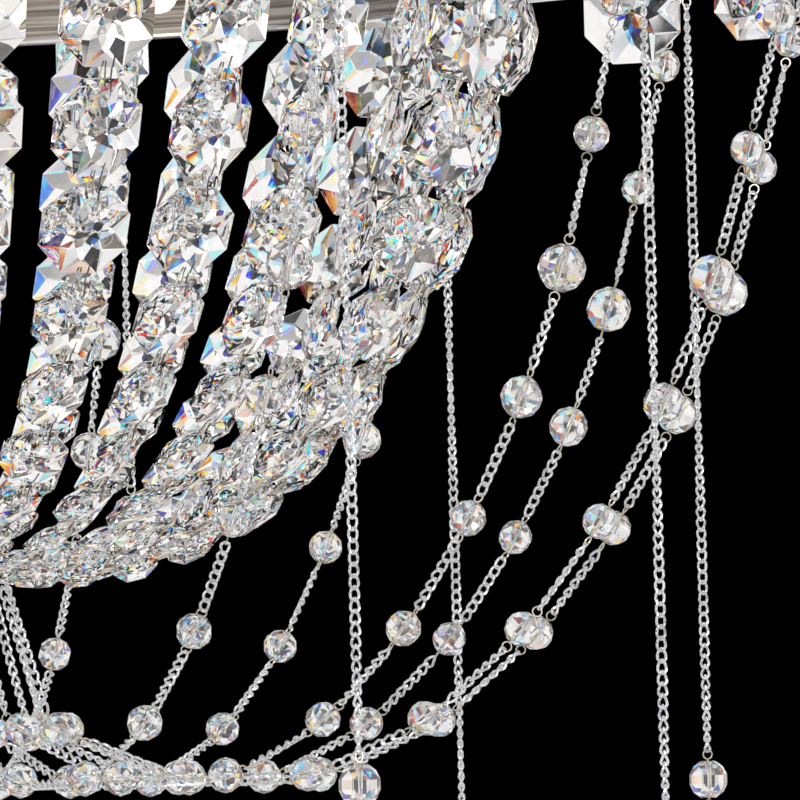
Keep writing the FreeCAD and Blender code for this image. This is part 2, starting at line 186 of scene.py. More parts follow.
def joined(shapes):
    """Several shapes as one: points in a row, face corners moved up by the points before."""
    shifts = np.cumsum([0] + [len(s.points) for s in shapes[:-1]])
    return Shape(np.concatenate([s.points for s in shapes]),
                 np.concatenate([s.corners + shift for s, shift in zip(shapes, shifts)]),
                 np.concatenate([s.sizes for s in shapes]))


def about_z(angle):
    """Matrices that turn by each angle about Z: rows (cos, -sin, 0), (sin, cos, 0), (0, 0, 1)."""
    angle = np.atleast_1d(np.asarray(angle, float))
    c, s, o, l = np.cos(angle), np.sin(angle), np.zeros_like(angle), np.ones_like(angle)
    return np.stack([c, -s, o, s, c, o, o, o, l], -1).reshape(-1, 3, 3)


def about_y(angle):
    """Matrices that tip +Z towards +X by each angle."""
    angle = np.atleast_1d(np.asarray(angle, float))
    c, s, o, l = np.cos(angle), np.sin(angle), np.zeros_like(angle), np.ones_like(angle)
    return np.stack([c, o, s, o, l, o, -s, o, c], -1).reshape(-1, 3, 3)


def stamp(shape, turns, places):
    """One copy of the shape per place: copy = points x turn, moved to its place."""
    points = np.einsum("nij,pj->npi", turns, shape.points) + places[:, None, :]
    shifts = np.arange(len(places)) * len(shape.points)
    return Shape(points.reshape(-1, 3), (shape.corners[None] + shifts[:, None]).ravel(),
                 np.tile(shape.sizes, len(places)))


def at(radius, height, azimuth):
    """Points in the row frame from radius, height above the swag bottoms and azimuth."""
    radius, height, azimuth = np.broadcast_arrays(radius, height, azimuth)
    return np.stack([radius * np.cos(azimuth), radius * np.sin(azimuth), BASE + height], -1)


def hang(shape, line, azimuths, own_turns=0.0):
    """Copies of the shape at every (radius, height, tip) of a line, in every azimuth, each turned
    about its own upright axis first."""
    line = np.asarray(line, float)
    radius, height, tip = (np.tile(column, len(azimuths)) for column in line.T)
    turn = np.repeat(azimuths, len(line))
    own = about_z(np.broadcast_to(own_turns, turn.shape))
    return stamp(shape, about_z(turn) @ about_y(tip) @ own, at(radius, height, turn))


SHARP = math.radians(40)  # smooth pieces keep edges sharper than this


def piece(name, shape, material, body, stands_for=(), smooth=True):
    """A mesh object from a shape, with its finish, riding on its body. A smooth one keeps its
    sharp edges."""
    mesh = bpy.data.meshes.new(name)
    mesh.vertices.add(len(shape.points))
    mesh.vertices.foreach_set("co", shape.points.astype(np.float32).ravel())
    mesh.loops.add(len(shape.corners))
    mesh.loops.foreach_set("vertex_index", shape.corners.astype(np.int32))
    mesh.polygons.add(len(shape.sizes))
    starts = np.concatenate([[0], np.cumsum(shape.sizes)[:-1]])
    mesh.polygons.foreach_set("loop_start", starts.astype(np.int32))
    mesh.polygons.foreach_set("use_smooth", np.full(len(shape.sizes), smooth))
    mesh.update(calc_edges=True)
    mesh.validate()
    if smooth:
        mesh.set_sharp_from_angle(angle=SHARP)
    mesh.materials.append(material)
    made = bpy.data.objects.new(name, mesh)
    bpy.context.scene.collection.objects.link(made)
    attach(made, body)
    if stands_for:
        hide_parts(*stands_for)
    print("%-22s %7d faces" % (name, len(shape.sizes)))
    return made


# %% [markdown]
# Two more generators cover nearly everything else. A turned piece is a profile of (radius,
# height) pairs swept round the axis. A wire is a ring of points carried along a path, square to
# the path's direction at every step. Both are rows of points with quads between the rows.

# %% Turned pieces and wires
def quads_between(rows, steps, closed):
    """Quads from each row of points to the next, (row, quad, corner); closed joins last to first."""
    row = np.arange(rows - (not closed))[:, None]
    a, b = row * steps + np.arange(steps), row * steps + (np.arange(steps) + 1) % steps
    up = ((row + 1) % rows - row) * steps
    return np.stack([a, b, b + up, a + up], -1)


def turned(profile, steps, closed=False):
    """Point (u, v) = (r(u) cos v, r(u) sin v, h(u)). An open profile starts and ends on the axis
    or stays a tube; a closed one is a ring's section, run anticlockwise seen with r to the right.
    Where the profile meets the axis, the row shrinks to one point and its faces to triangles."""
    profile = np.asarray(profile, float)
    v = np.arange(steps) * 2 * math.pi / steps
    points = np.stack([profile[:, :1] * np.cos(v), profile[:, :1] * np.sin(v),
                       np.broadcast_to(profile[:, 1:], (len(profile), steps))], -1)
    quads = quads_between(len(profile), steps, closed)
    on_axis = profile[:, 0] == 0
    low, high = on_axis[:len(quads)], np.roll(on_axis, -1)[:len(quads)]
    shape = shape_of(points.reshape(-1, 3), quads[~low & ~high].reshape(-1, 4),
                     quads[low][..., [0, 2, 3]].reshape(-1, 3),
                     quads[high][..., [0, 1, 2]].reshape(-1, 3))
    number = np.arange(len(shape.points)).reshape(-1, steps)
    number[on_axis] = number[on_axis, :1]
    used, corners = np.unique(number.ravel()[shape.corners], return_inverse=True)
    return Shape(shape.points[used], corners.ravel(), shape.sizes)


def wire(path, thick, sides, closed):
    """Point (u, v) = path(u) + thick/2 (side cos v + other sin v), with side square to the path
    and to the normal of its mean plane, and other square to path and side. Open ends are capped."""
    path = np.asarray(path, float)
    if closed:
        ahead = np.roll(path, -1, 0) - np.roll(path, 1, 0)
    else:
        ahead = np.gradient(path, axis=0)
    ahead /= np.linalg.norm(ahead, axis=1, keepdims=True)
    normal = np.linalg.svd(path - path.mean(0))[2][2]
    side = np.cross(ahead, normal)
    side /= np.linalg.norm(side, axis=1, keepdims=True)
    other = np.cross(ahead, side)
    v = (np.arange(sides) + 0.5) * 2 * math.pi / sides
    ring = side[:, None] * np.cos(v)[:, None] + other[:, None] * np.sin(v)[:, None]
    points = path[:, None] + ring * thick / 2
    faces = [quads_between(len(path), sides, closed).reshape(-1, 4)]
    if not closed:
        last = (len(path) - 1) * sides
        faces += [np.arange(sides)[None, ::-1], last + np.arange(sides)[None]]
    return shape_of(points.reshape(-1, 3), *faces)


# %% [markdown]
# ## Finishes
#
# Every finish is one Principled shader. Values that are the same all over sit on the shader's
# own sockets. Textures, read in object coordinates, only carry what really varies: a little
# cloudiness in polish and plating, brush strokes, and the slight curve of a polished facet.

# %% Material helpers
def add_node(tree, kind, inputs=None, **settings):
    """A node of that kind, with its settings and its inputs: a socket is linked, a value is set."""
    made = tree.nodes.new("ShaderNode" + kind)
    for key, value in settings.items():
        setattr(made, key, value)
    for key, value in (inputs or {}).items():
        if isinstance(value, bpy.types.NodeSocket):
            tree.links.new(value, made.inputs[key])
        else:
            made.inputs[key].default_value = value
    return made


LOW, HIGH = 0.3, 0.7  # most of a noise's values lie between these


def ramp(tree, factor, stops, interpolation="LINEAR"):
    """A colour ramp through (position, colour) stops."""
    made = add_node(tree, "ValToRGB", {"Fac": factor})
    made.color_ramp.interpolation = interpolation
    while len(made.color_ramp.elements) < len(stops):
        made.color_ramp.elements.new(0.5)
    for element, (position, colour) in zip(made.color_ramp.elements, stops):
        element.position = position
        element.color = (*colour, 1.0)
    return made.outputs["Color"]


def finish_base(name, **sockets):
    """A material with one Principled shader whose plain values are set on its own sockets."""
    material = bpy.data.materials.new(name)
    material.use_nodes = True
    tree = material.node_tree
    shader = tree.nodes["Principled BSDF"]
    for key, value in sockets.items():
        shader.inputs[key.replace("_", " ")].default_value = value
    where = add_node(tree, "TexCoord").outputs["Object"]
    return material, tree, shader, where


def clouded(name, scale, detail, dark, bright, **sockets):
    """A finish whose colour runs from dark to bright with one noise. The result starts with the
    material; the rest is for what else follows the noise or the colour."""
    material, tree, shader, where = finish_base(name, **sockets)
    cloud = add_node(tree, "TexNoise", {"Vector": where, "Scale": scale, "Detail": detail}).outputs["Fac"]
    tint = ramp(tree, cloud, [(LOW, dark), (HIGH, bright)])
    tree.links.new(tint, shader.inputs["Base Color"])
    return material, tree, shader, cloud, tint


# %% [markdown]
# ### Metals
#
# The outer ring, arms and canopy are polished chrome, and the basket's band is brushed along its
# length. The chain is bright silver with a soft shine, because thousands of small links are
# tumbled, not polished. Eyes and pins are warmer nickel wire. A metal needs little pattern: a slow
# noise changes its roughness and its tint slightly, and the brushing is the same noise drawn out
# flat, by a scale along Z that is many times the one along X and Y.

# %% Metal finishes
ROUGH_SPREAD = 0.06  # between a metal's smoothest and roughest places


def metal(name, dark, bright, roughness, scale):
    """A metal whose tint runs from dark to bright and whose roughness varies with one noise."""
    material, tree, shader, cloud, _ = clouded(name, scale, 3.0, dark, bright, Metallic=1.0)
    rough = add_node(tree, "MapRange", {"Value": cloud, "From Min": LOW, "From Max": HIGH,
                                        "To Min": roughness - ROUGH_SPREAD / 2,
                                        "To Max": roughness + ROUGH_SPREAD / 2})
    tree.links.new(rough.outputs["Result"], shader.inputs["Roughness"])
    return material


def brushed(name, stops, roughness, scale):
    """A metal with fine level streaks: a noise with its own scale along each axis."""
    material, tree, shader, where = finish_base(name, Metallic=1.0, Roughness=roughness)
    drawn = add_node(tree, "Mapping", {"Vector": where, "Scale": scale}).outputs["Vector"]
    streak = add_node(tree, "TexNoise", {"Vector": drawn, "Scale": 1.0, "Detail": 4.0}).outputs["Fac"]
    tree.links.new(ramp(tree, streak, stops), shader.inputs["Base Color"])
    return material


chrome = metal("polished_chrome", (0.74, 0.72, 0.71), (0.86, 0.85, 0.85), 0.09, 18.0)
brushed_stops = [(LOW, (0.13, 0.11, 0.095)), (0.5, (0.33, 0.295, 0.265)), (HIGH, (0.66, 0.62, 0.585))]
brushed_band = brushed("brushed_band", brushed_stops, 0.28, (14.0, 14.0, 900.0))
silver = metal("bright_silver", (0.86, 0.86, 0.88), (0.97, 0.97, 0.98), 0.24, 60.0)
nickel = metal("warm_nickel", (0.66, 0.59, 0.46), (0.92, 0.87, 0.76), 0.18, 240.0)
# The same nickel wire painted dark: painted shade for the crossing pin ends.
shaded_pin_wire = metal("nickel_painted_shade", (0.20, 0.15, 0.11), (0.42, 0.33, 0.26), 0.24, 240.0)
steel = metal("plated_steel", (0.58, 0.58, 0.60), (0.72, 0.72, 0.73), 0.34, 40.0)
print("metals:", [m.name for m in (chrome, brushed_band, silver, nickel, shaded_pin_wire, steel)])

# %% [markdown]
# ### Crystal
#
# Crystal is clear glass with a high index, and its look comes from the cut. A perfectly flat
# facet shows one even patch of its surroundings through a lens as long as this one. A facet that
# was ground and polished by hand is slightly pillowed, so that it shows a soft run from one patch
# to the next. A slow noise as bump gives that. A number stored on each face, drawn at random,
# puts a breath of grey on some of them. The chain's beads are a plainer glass, a little cloudy.
# The colours that crystal throws come from the light and backdrop, further down.

# %% Crystal finish
PILLOW_HEIGHT, PILLOWS_PER_METRE = 0.8 * MM, 62.0
GREYS = [(0.0, (0.91, 0.89, 0.88)), (0.3, (0.98, 0.96, 0.95)), (1.0, (1.0, 0.98, 0.965))]
rng = np.random.default_rng(7)


def crystal_finish(name, clear, index):
    """Crystal of that clearness and index, with slightly pillowed facets: the bump's height is
    PILLOW_HEIGHT times a noise."""
    material, tree, shader, where = finish_base(name, Transmission_Weight=clear, Roughness=0.0, IOR=index)
    number = add_node(tree, "Attribute", attribute_name="facet").outputs["Fac"]
    tree.links.new(ramp(tree, number, GREYS), shader.inputs["Base Color"])
    pillow = add_node(tree, "TexNoise", {"Vector": where, "Scale": PILLOWS_PER_METRE, "Detail": 0.0})
    bump = add_node(tree, "Bump", {"Height": pillow.outputs["Fac"], "Strength": 1.0,
                                   "Distance": PILLOW_HEIGHT})
    tree.links.new(bump.outputs["Normal"], shader.inputs["Normal"])
    return material


def cut_piece(name, shape, material, body, node):
    """A piece with flat facets, and on each a number between 0 and 1 that the finish reads."""
    made = piece(name, shape, material, body, [node], smooth=False)
    numbers = rng.random(len(made.data.polygons)).astype(np.float32)
    made.data.attributes.new("facet", "FLOAT", "FACE").data.foreach_set("value", numbers)


crystal = crystal_finish("clear_crystal", 1.0, 1.57)
bead_crystal = crystal_finish("bead_crystal", 0.90, 1.50)
print("crystals:", crystal.name, bead_crystal.name)

# %% [markdown]
# ### Lamp parts
#
# The sockets are glazed ceramic, nearly white. The capsule bulbs are frosted and lit from within,
# warm in some places and whiter in others.

# %% Ceramic and bulb finishes
ceramic = clouded("glazed_ceramic", 120.0, 4.0, (0.78, 0.76, 0.72), (0.86, 0.85, 0.82), Roughness=0.3)[0]
frosted, tree, shader, _, glow = clouded("frosted_bulb", 70.0, 2.0, (1.0, 0.86, 0.66), (1.0, 0.95, 0.86),
                                         Roughness=0.5, Emission_Strength=1.6)
tree.links.new(glow, shader.inputs["Emission Color"])
print("lamp finishes:", ceramic.name, frosted.name)

# %% [markdown]
# ## Carried-over solids
#
# The bracket, nipple, nut, arms and lugs already have their real shapes as solids, flat bar and
# plate. They keep them and only get their finish.

# %% Finishes for the carried-over solids
KEPT = {chrome: ["ring_arms", "anchor_lugs"],
        steel: ["ceiling_bracket", "threaded_nipple", "lock_nut"]}
for material, names in KEPT.items():
    for name in names:
        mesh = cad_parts[name].data
        mesh.materials.clear()
        mesh.materials.append(material)
print("kept solids:", sum(len(names) for names in KEPT.values()))

# %% [markdown]
# ## The octagon crystal
#
# Each octagon is cut alike on both sides. A shallow star of eight triangles meets in a point in
# the middle. Eight kites run from the star's tips to the corners, and triangles fill the flats
# inside and outside the waist, where two kites touch. The kites have to be flat, which fixes how
# high their side corners stand: on the straight line from star tip to girdle corner, at their
# share of the way.

# %% Cut octagon
GIRDLE = 0.030  # half thickness at the rim, over the size
STAR, WAIST = 0.30, 0.60  # radii of star tips and waist, over the flat's radius
CROWN = 1.10  # how much higher the tips stand than a plain pyramid's
OCTAGON_DEPTH = 0.40  # thickness over size


def cut_octagon(size, depth):
    """A crystal seen along X with flats above and below. Ring radii are size/2 over the cosine
    of 22.5 degrees at the corners, STAR and WAIST times size/2 inside; heights as said above."""
    flat = size / 2
    half, turn = math.pi / 8, np.arange(8) * math.pi / 4
    corner, waist, star = flat / math.cos(half), flat * WAIST, flat * STAR
    rim_x, point_x = size * GIRDLE, depth / 2
    star_x = rim_x + (point_x - rim_x) * (1 - star / corner) * CROWN
    waist_x = star_x - (star_x - rim_x) * (waist * math.cos(half) - star) / (corner - star)

    def ring(radius, angle, x):
        return np.stack([np.full(8, x), radius * np.cos(angle), radius * np.sin(angle)], -1)

    side = np.concatenate([ring(corner, turn + half, rim_x), ring(waist, turn + 2 * half, waist_x),
                           ring(star, turn + half, star_x), [[point_x, 0, 0]]])
    i, j, b = np.arange(8), (np.arange(8) + 1) % 8, (np.arange(8) - 1) % 8
    kites = np.stack([16 + i, 8 + b, i, 8 + i], -1)
    flats = np.concatenate([np.stack(f, -1) for f in ((i, j, 8 + i), (16 + i, 8 + i, 16 + j),
                                                      (np.full(8, 24), 16 + i, 16 + j))])
    girdle = np.stack([25 + i, 25 + j, j, i], -1)
    return shape_of(np.concatenate([side, side * [-1, 1, 1]]), girdle, kites, 25 + kites[:, ::-1],
                    flats, 25 + flats[:, ::-1])


def sized(shape, size):
    """A shape of size 1, made size times as large."""
    return shape._replace(points=shape.points * size)


octagon = cut_octagon(1.0, OCTAGON_DEPTH)
print("octagon faces:", len(octagon.sizes))

# %% [markdown]
# ## The basket of strands
#
# Long strands of eleven crystals and short strands of eight hang in turn from the lip of the
# basket ring. Nothing holds a crystal square to its strand: every strand has a twist of its own,
# and every crystal turns a little more about its pins.

# %% Basket crystals
strand_azimuths = (np.arange(STRANDS) + 0.5) * 2 * math.pi / STRANDS
LONG, SHORT = strand_azimuths[0::2], strand_azimuths[1::2]
TWIST, SWING = math.radians(17.0), math.radians(7.0)
twists = np.random.default_rng(12729).normal(0.0, TWIST, STRANDS)


def strand_crystals(count, azimuths, twist):
    """Copies of the octagon in each size at its middles: turned by twist and swing, then placed."""
    made = []
    for size, (radius, height, tip) in zip(STRAND_SIZES, strand_line(count)[1]):
        loose = about_z(twist + rng.normal(0.0, SWING, len(azimuths)))
        turns = about_z(azimuths) @ about_y(np.full(len(azimuths), tip)) @ loose
        made.append(stamp(sized(octagon, size), turns, at(radius, height, azimuths)))
    return made


basket = joined(strand_crystals(len(STRAND_SIZES), LONG, twists[0::2])
                + strand_crystals(SHORT_STRAND, SHORT, twists[1::2]))
cut_piece("basket_crystals", basket, crystal, "fixture", "basket_octagons")

# %% [markdown]
# ## The pins between the crystals
#
# A bent pin of nickel wire joins two crystals. Seen from the front it is a narrow pair of legs
# that spread downwards, with the crossing end of the next pin beside it: the same nickel wire,
# painted darker as shade. The ends lie inside the crystals, where they show through.

# %% Pins
PIN_WIRE, PIN_HOLD = 0.62 * MM, 2.5 * MM
LEG_FRONT, END_FRONT = 0.9 * MM, -0.5 * MM  # out from the strand's line: the legs, the crossing end
LEG_SIDES = [(-0.5 * MM, -1.9 * MM), (0.3 * MM, 0.8 * MM)]  # to the side: each leg's top and bottom
END_SIDES = (3.6 * MM, 3.2 * MM)  # and the crossing end's


def straight_wire(start, end, thick, sides=5):
    """A capped straight wire between two points of the piece's own frame."""
    start, end = np.asarray(start, float), np.asarray(end, float)
    ahead = (end - start) / np.linalg.norm(end - start)
    side = np.cross(ahead, [1.0, 0.0, 0.0] if abs(ahead[0]) < 0.9 else [0.0, 1.0, 0.0])
    side /= np.linalg.norm(side)
    other = np.cross(ahead, side)
    v = np.arange(sides) * 2 * math.pi / sides
    ring = (side * np.cos(v)[:, None] + other * np.sin(v)[:, None]) * thick / 2
    i, j = np.arange(sides), (np.arange(sides) + 1) % sides
    return shape_of(np.concatenate([start + ring, end + ring]), np.stack([i, j, sides + j, sides + i], -1),
                    i[None, ::-1], sides + i[None])


def legs(length):
    """The pair of legs, standing on Z from 0 down to -length and a hold further at both ends."""
    low = -length - PIN_HOLD
    return joined([straight_wire((LEG_FRONT, top, PIN_HOLD), (LEG_FRONT, bottom, low), PIN_WIRE)
                   for top, bottom in LEG_SIDES])


def crossing_end(length):
    """The end of the next pin, a little to the side and a hold longer again."""
    return straight_wire((END_FRONT, END_SIDES[0], 2 * PIN_HOLD),
                         (END_FRONT, END_SIDES[1], -length - 2 * PIN_HOLD), PIN_WIRE)


def strand_pins(shape, count, azimuths):
    """A copy of shape(gap's length) in every gap of a strand, along the gap."""
    made = []
    for (r0, h0), (r1, h1) in strand_line(count)[0]:
        length, tip = math.hypot(r0 - r1, h0 - h1), math.atan2(r0 - r1, h0 - h1)
        turns = about_z(azimuths) @ about_y(np.full(len(azimuths), tip))
        made.append(stamp(shape(length), turns, at(r0, h0, azimuths)))
    return made


# The crossing ends get the nickel wire with painted shade.
for name, shape, finish, node in (("basket_wire_pins", legs, nickel, ["basket_pins"]),
                                  ("basket_pin_ends", crossing_end, shaded_pin_wire, [])):
    pins = joined(strand_pins(shape, len(STRAND_SIZES), LONG) + strand_pins(shape, SHORT_STRAND, SHORT))
    piece(name, pins, finish, "fixture", node)

# %% [markdown]
# ## The large octagons on the outer ring
#
# Sixteen larger octagons hang inside the outer ring, one from each tab, all turned the same way.

# %% Rim octagons
RIM_SIZE, RIM_DEPTH, RIM_RADIUS = 36 * MM, 11 * MM, 318 * MM
RIM_MIDDLE, RIM_TURN, TAB_BOTTOM = 267 * MM, math.radians(38), 288 * MM
rim_shape = stamp(cut_octagon(RIM_SIZE, RIM_DEPTH), about_z(RIM_TURN), np.zeros((1, 3)))
rim_crystals = hang(rim_shape, [(RIM_RADIUS, RIM_MIDDLE, 0.0)], bays)
cut_piece("rim_crystals", rim_crystals, crystal, "fixture", "rim_octagons")
rim_legs = hang(legs(TAB_BOTTOM - RIM_MIDDLE - RIM_SIZE / 2), [(RIM_RADIUS, TAB_BOTTOM, 0.0)], bays)
piece("rim_wire_pins", rim_legs, nickel, "fixture", ["rim_pins"])

# %% [markdown]
# ## Beads on wire
#
# A cut bead has a flat collar round its drilled hole, a belt of upright facets, and two rows of
# triangles between. A wire runs through the hole and ends in an eye on both sides, which holds
# the chain. The drilled hole matters: it shows as two bright lines down the middle of every bead.

# %% Cut bead
BEAD_SIDES = 8
# Hole, collar, shoulder and belt, each as (radius, level, turn in steps), over the bead's size.
BEAD_RINGS = [(0.055, 0.472, 0.0), (0.20, 0.468, 0.0), (0.39, 0.325, 0.5), (0.495, 0.115, 0.0)]


def cut_bead():
    """Point i of a ring = (r cos t, r sin t, level), t = (i + turn) steps. Rings of equal turn are
    joined by upright quads, rings half a step apart by triangles; the same rings follow below."""
    rings = BEAD_RINGS + [(r, -level, turn) for r, level, turn in BEAD_RINGS[::-1]]
    i = np.arange(BEAD_SIDES)
    t = (i + np.array([[turn] for _, _, turn in rings])) * 2 * math.pi / BEAD_SIDES
    radius, level = (np.array([[ring[k]] for ring in rings]) for k in (0, 1))
    points = np.stack([radius * np.cos(t), radius * np.sin(t), level + 0 * t], -1).reshape(-1, 3)
    quads, triangles = [], []
    for n in range(len(rings)):
        m = (n + 1) % len(rings)
        upper, lower, shift = n * BEAD_SIDES, m * BEAD_SIDES, rings[m][2] - rings[n][2]
        on, back = (i + 1) % BEAD_SIDES, (i - 1) % BEAD_SIDES
        if shift == 0:
            quads.append(np.stack([lower + i, lower + on, upper + on, upper + i], -1))
        elif shift > 0:
            triangles += [np.stack([lower + i, upper + on, upper + i], -1),
                          np.stack([upper + i, lower + back, lower + i], -1)]
        else:
            triangles += [np.stack([upper + i, lower + i, lower + on], -1),
                          np.stack([lower + i, upper + i, upper + back], -1)]
    return shape_of(points, np.concatenate(quads), np.concatenate(triangles))


bead = cut_bead()
EYE_RADIUS, EYE_WIRE = 1.7 * MM, 0.55 * MM
EYE_OUT = EYE_RADIUS + EYE_WIRE / 2  # from the bead's end to the middle of the eye


def eye(steps=10, sides=4):
    """A ring of wire in the XZ plane: (R cos u, 0, R sin u)."""
    u = np.arange(steps) * 2 * math.pi / steps
    return wire(EYE_RADIUS * np.stack([np.cos(u), 0 * u, np.sin(u)], -1), EYE_WIRE, sides, True)


def eye_wire(size):
    """The wire through a bead, with an eye above and an eye below."""
    ring, reach = eye(), size / 2 + EYE_OUT
    return joined([straight_wire((0, 0, -size / 2), (0, 0, size / 2), EYE_WIRE, 4),
                   ring._replace(points=ring.points + [0, 0, reach]),
                   ring._replace(points=ring.points - [0, 0, reach])])


print("bead faces:", len(bead.sizes), "eye wire faces:", len(eye_wire(12 * MM).sizes))

# %% [markdown]
# ## Curb chain
#
# A curb link is an oval of wire with a twist, so that the links lie flat side by side. Its
# centre line is (a cos t, c sin 2t, b sin t): the sin 2t term is the twist. A hanging chain
# turns slowly along its length, so it shows open ovals in one place and a narrow rope in the
# next. Each link is only twelve steps by five sides, because there are thousands.

# %% Chain link and chain runs
LINK_HALF_WIDTH, LINK_HALF_LENGTH, LINK_TWIST = 1.42 * MM, 2.35 * MM, 0.71 * MM
LINK_WIRE = 0.95 * MM
LINK_PITCH = 2 * LINK_HALF_LENGTH - LINK_WIRE


def curb_link(steps=12, sides=5):
    """The link described above, as a closed wire."""
    t = np.arange(steps) * 2 * math.pi / steps
    path = np.stack([LINK_HALF_WIDTH * np.cos(t), LINK_TWIST * np.sin(2 * t),
                     LINK_HALF_LENGTH * np.sin(t)], -1)
    return wire(path, LINK_WIRE, sides, True)


link = curb_link()
HOOKED = EYE_RADIUS - (EYE_WIRE + LINK_WIRE) / 2 + LINK_HALF_LENGTH  # eye's middle to first link's
TURN_RATE = 0.085  # turn from link to link


def chain_run(start, end, azimuth, first_turn):
    """Links from one eye to the next, and the turn that the next run starts with. start and end
    are (radius, height); all links lie along the run, and link number n is turned about the run
    by first_turn + n TURN_RATE."""
    start, end = np.array(start), np.array(end)
    length = np.linalg.norm(end - start)
    tip = math.atan2(start[0] - end[0], start[1] - end[1])
    count = int(round((length - 2 * HOOKED) / LINK_PITCH)) + 1
    along = (HOOKED + np.linspace(0, length - 2 * HOOKED, count)) / length
    middles = start + (end - start) * along[:, None]
    turns = about_z(azimuth) @ about_y(tip) @ about_z(first_turn + np.arange(count) * TURN_RATE)
    return stamp(link, turns, at(middles[:, 0], middles[:, 1], azimuth)), first_turn + count * TURN_RATE


print("link faces:", len(link.sizes), "pitch %.2f mm" % (LINK_PITCH / MM))

# %% [markdown]
# ## Sixteen swags
#
# Every swag starts in a ring under its lug, runs through ten beads and ends at the bottom
# ring of the basket. Between two beads the chain is straight from eye to eye.

# %% Swags
def bead_chain(stops, azimuth, first_turn):
    """The chain runs between stops; a stop is (radius, height, tip, bead size or 0)."""
    runs, turn = [], first_turn
    for (r0, h0, tip0, size0), (r1, h1, tip1, size1) in zip(stops, stops[1:]):
        out0 = size0 / 2 + EYE_OUT if size0 else 0.0
        out1 = size1 / 2 + EYE_OUT if size1 else 0.0
        start = (r0 - out0 * math.sin(tip0), h0 - out0 * math.cos(tip0))
        end = (r1 + out1 * math.sin(tip1), h1 + out1 * math.cos(tip1))
        run, turn = chain_run(start, end, azimuth, turn)
        runs.append(run)
    return runs


gaps, middles = swag_line()
LUG_EYE = LUG_BOTTOM - EYE_OUT
stops = [(SWAG_RADIUS, LUG_EYE, 0.0, 0.0)]
stops += [(r, h, tip, size) for (r, h, tip), size in zip(middles, SWAG_BEADS)]
stops += [(*gaps[-1][1], 0.0, 0.0)]
swag_runs = [run for azimuth in bays for run in bead_chain(stops, azimuth, rng.uniform(0, math.pi))]
piece("swag_chain_links", joined(swag_runs), silver, "fixture", ["swag_chains"])
swag_beads, swag_eyes = [], [hang(eye(), [(SWAG_RADIUS, LUG_EYE, 0.0)], bays)]
for size in np.unique(SWAG_BEADS):
    line = [m for m, s in zip(middles, SWAG_BEADS) if s == size]
    swag_beads.append(hang(sized(bead, size), line, bays))
    swag_eyes.append(hang(eye_wire(size), line, bays, rng.uniform(0, math.pi, len(line) * BAYS)))
cut_piece("swag_cut_beads", joined(swag_beads), bead_crystal, "fixture", "swag_beads")
piece("swag_eye_wires", joined(swag_eyes), nickel, "fixture")

# %% [markdown]
# ## Sixteen drop chains
#
# A plain chain hangs straight down from every lug, with a ball at its end. Each one swings on
# its own body, so each is its own pieces.

# %% Drop chains
DROP_RADIUS, BALL_SIZE = 341 * MM, 14 * MM
BALL_LEVELS = np.array([125, -8, -74, 97]) * MM
DROP_GAP = 0.7 * MM  # play between the lug and the drop's upper eye
DROP_TOP = LUG_BOTTOM - DROP_GAP - EYE_OUT
for k, azimuth in enumerate(bays):
    number, level = "%02d" % (k + 1), BALL_LEVELS[k % len(BALL_LEVELS)]
    body = "drop_" + number
    ball_line = [(DROP_RADIUS, level, 0.0)]
    eye_level = level + BALL_SIZE / 2 + EYE_OUT
    run, _ = chain_run((DROP_RADIUS, DROP_TOP), (DROP_RADIUS, eye_level), azimuth,
                       rng.uniform(0, math.pi))
    piece("drop_links_" + number, run, silver, body, ["drop_chain_" + number])
    ball = hang(sized(bead, BALL_SIZE), ball_line, [azimuth])
    cut_piece("drop_cut_ball_" + number, ball, bead_crystal, body, "drop_ball_" + number)
    wires = joined([hang(eye_wire(BALL_SIZE), ball_line, [azimuth], rng.uniform(0, math.pi)),
                    hang(eye(), [(DROP_RADIUS, DROP_TOP, 0.0)], [azimuth])])
    piece("drop_wires_" + number, wires, nickel, body)

# %% [markdown]
# ## Stay chains
#
# Eight straight chains run from the crown plate down to the outer ring, with two beads each.

# %% Stays
CROWN_LEVEL, STAY_INNER, STAY_BEAD = 607 * MM, 60 * MM, 14 * MM
RING_RADIUS, STAY_RUNS = 339 * MM, 3
stay_top, stay_end = np.array([STAY_INNER, CROWN_LEVEL]), np.array([RING_RADIUS, RING_TOP])
stay_tip = math.atan2(STAY_INNER - RING_RADIUS, CROWN_LEVEL - RING_TOP)
stay_points = [stay_top + (stay_end - stay_top) * i / STAY_RUNS for i in range(STAY_RUNS + 1)]
stay_stops = [(*p, stay_tip, s) for p, s in zip(stay_points, (0.0, STAY_BEAD, STAY_BEAD, 0.0))]
stay_azimuths = bays[0::2]
stay_runs = [run for azimuth in stay_azimuths
             for run in bead_chain(stay_stops, azimuth, rng.uniform(0, math.pi))]
piece("stay_chain_links", joined(stay_runs), silver, "fixture", ["stay_chains"])
stay_line = [stop[:3] for stop in stay_stops[1:3]]
stay_beads = hang(sized(bead, STAY_BEAD), stay_line, stay_azimuths)
cut_piece("stay_cut_beads", stay_beads, bead_crystal, "fixture", "stay_beads")
stay_turns = rng.uniform(0, math.pi, len(stay_line) * len(stay_azimuths))
piece("stay_eye_wires", hang(eye_wire(STAY_BEAD), stay_line, stay_azimuths, stay_turns), nickel, "fixture")

# %% [markdown]
# ## The rings
#
# The two large rings are rolled bands. As solids they are made of short flats; here they are
# smooth, with edges broken by a small round, which catches a fine line of light. The basket's
# band stands on a lip, and the strands hang from the lip; a narrow gap parts the two.

# %% Rings
RING_STEPS = 256


def rounded(inner, outer, bottom, top, edge):
    """A rectangle of (radius, height) with its four corners cut by edge, anticlockwise."""
    return [(inner + edge, bottom), (outer - edge, bottom), (outer, bottom + edge), (outer, top - edge),
            (outer - edge, top), (inner + edge, top), (inner, top - edge), (inner, bottom + edge)]


def ring_band(section):
    """A smooth ring from its section in millimetres of radius and height above the swag bottoms."""
    return turned(np.array(section) * MM + [0.0, BASE], RING_STEPS, True)


